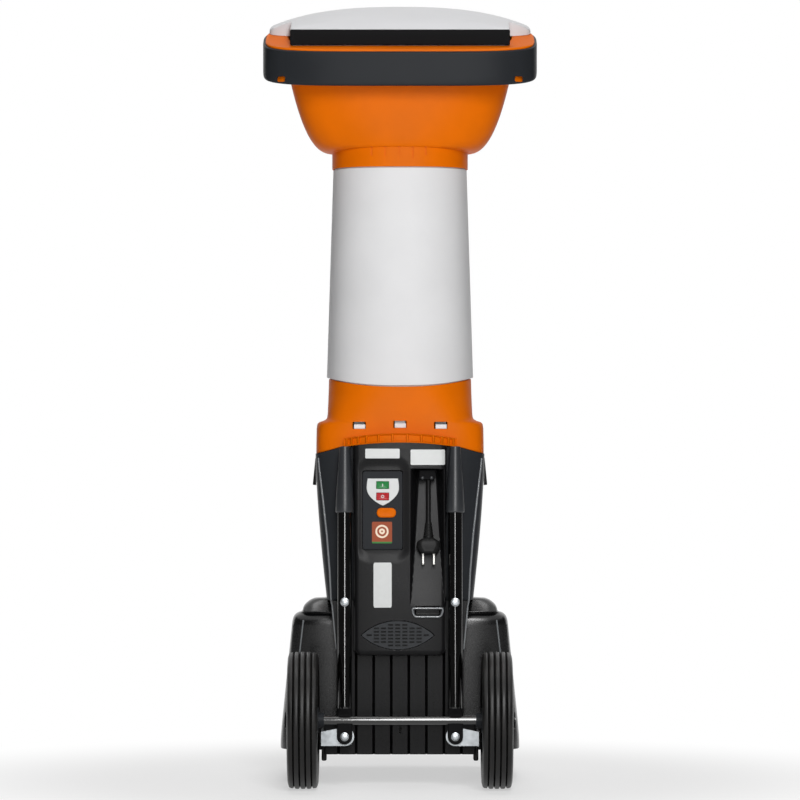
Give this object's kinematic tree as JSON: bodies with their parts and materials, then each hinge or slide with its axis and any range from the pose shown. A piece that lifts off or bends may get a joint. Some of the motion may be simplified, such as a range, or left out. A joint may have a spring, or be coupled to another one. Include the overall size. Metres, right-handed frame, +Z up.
{
  "type": "garden shredder",
  "caption": "Upright electric garden shredder with an inclined lidded hopper, feed tube, enclosed motor and knives, wheeled stand and foot.",
  "frame": {"origin": "middle of the machine's footprint on the floor, below the tower's middle line", "axes": "+Z up along the tower, the operator's side with switch and wheels faces -Y, +X to the right seen from there"},
  "size_m": [0.486, 0.6223, 1.3919],
  "materials": {
    "orange_plastic": "moulded orange plastic with a fine grain",
    "pale_grey_plastic": "moulded pale grey plastic",
    "lid_plastic": "moulded pale grey plastic, smooth",
    "charcoal_plastic": "moulded charcoal plastic with a fine grain",
    "black_plastic": "moulded black plastic with a fine grain",
    "tyre_rubber": "black tread rubber",
    "foot_rubber": "black rubber",
    "black_enamel": "glossy black enamel on steel tube",
    "zinc": "zinc-plated steel",
    "steel": "ground steel",
    "cast_aluminium": "cast aluminium",
    "core_steel": "stacked core sheet",
    "winding": "enamelled wire",
    "white_plate": "white plate",
    "green_button": "green moulded button",
    "red_button": "red moulded button",
    "cord_rubber": "black cord sheath",
    "capacitor_plastic": "pale plastic can"
  },
  "bodies": {
    "base": {"hopper_bowl": "orange_plastic", "hopper_collar": "charcoal_plastic", "hinge_bracket": "orange_plastic", "hinge_pins": "steel", "feed_tube": "pale_grey_plastic", "shroud": "orange_plastic", "inlet_plate": "charcoal_plastic", "front_housing": "charcoal_plastic", "rear_housing": "charcoal_plastic", "rear_cover": "black_plastic", "vent_grille": "black_plastic", "rear_panel": "black_plastic", "foot_housing": "black_plastic", "front_feet": "foot_rubber", "motor_plate": "cast_aluminium", "cutting_chamber": "steel", "counter_knife": "steel", "discharge_chute": "charcoal_plastic", "motor_can": "cast_aluminium", "stator_core": "core_steel", "stator_windings": "winding", "end_shield": "cast_aluminium", "upper_bearing": "steel", "lower_bearing": "steel", "capacitor": "capacitor_plastic", "switch_box": "black_plastic", "left_leg": "black_enamel", "right_leg": "black_enamel", "axle": "black_enamel", "leg_bolts": "zinc", "stay_brackets": "zinc", "axle_spacers": "charcoal_plastic", "axle_caps": "zinc", "switch_panel": "black_plastic", "switch_shield": "white_plate", "cord_clamp": "black_plastic", "cord_loop": "charcoal_plastic", "mains_cord": "cord_rubber", "plug_body": "cord_rubber", "plug_pins": "steel"},
    "lid": {"lid": "lid_plastic", "lid_lip": "black_plastic", "lid_hinge": "lid_plastic"},
    "left_wheel": {"left_tyre": "tyre_rubber", "left_rim": "charcoal_plastic"},
    "right_wheel": {"right_tyre": "tyre_rubber", "right_rim": "charcoal_plastic"},
    "rotor": {"rotor_shaft": "steel", "rotor_core": "core_steel", "cooling_fan": "black_plastic", "blade_disc": "steel", "knives": "steel", "thrower_wings": "steel", "blade_screw": "zinc"},
    "start_button": {"start_button": "green_button"},
    "stop_button": {"stop_button": "red_button"},
    "direction_slider": {"direction_slider": "orange_plastic"},
    "left_knob": {"left_knob": "black_plastic"},
    "right_knob": {"right_knob": "black_plastic"}
  },
  "joints": [
    {"name": "lid_open", "type": "hinge", "parent": "base", "child": "lid", "pos_m": [0, 0.10952, 1.38494], "axis": [-1, 0, 0], "range_deg": [0, 95]},
    {"name": "left_wheel_spin", "type": "hinge", "parent": "base", "child": "left_wheel", "pos_m": [-0.1695, -0.19, 0.12], "axis": [1, 0, 0], "continuous": true},
    {"name": "right_wheel_spin", "type": "hinge", "parent": "base", "child": "right_wheel", "pos_m": [0.1695, -0.19, 0.12], "axis": [1, 0, 0], "continuous": true},
    {"name": "rotor_spin", "type": "hinge", "parent": "base", "child": "rotor", "pos_m": [0, 0, 0.5], "axis": [0, 0, 1], "continuous": true},
    {"name": "start_push", "type": "slide", "parent": "base", "child": "start_button", "axis": [0, 1, 0], "range_m": [0, 0.003], "stiffness_N_per_m": 300},
    {"name": "stop_push", "type": "slide", "parent": "base", "child": "stop_button", "axis": [0, 1, 0], "range_m": [0, 0.003], "stiffness_N_per_m": 300},
    {"name": "direction_slide", "type": "slide", "parent": "base", "child": "direction_slider", "axis": [-1, 0, 0], "range_m": [0, 0.008]},
    {"name": "left_knob_turn", "type": "hinge", "parent": "base", "child": "left_knob", "pos_m": [-0.15, 0, 0.553], "axis": [1, 0, 0], "continuous": true},
    {"name": "right_knob_turn", "type": "hinge", "parent": "base", "child": "right_knob", "pos_m": [0.15, 0, 0.553], "axis": [1, 0, 0], "continuous": true}
  ]
}
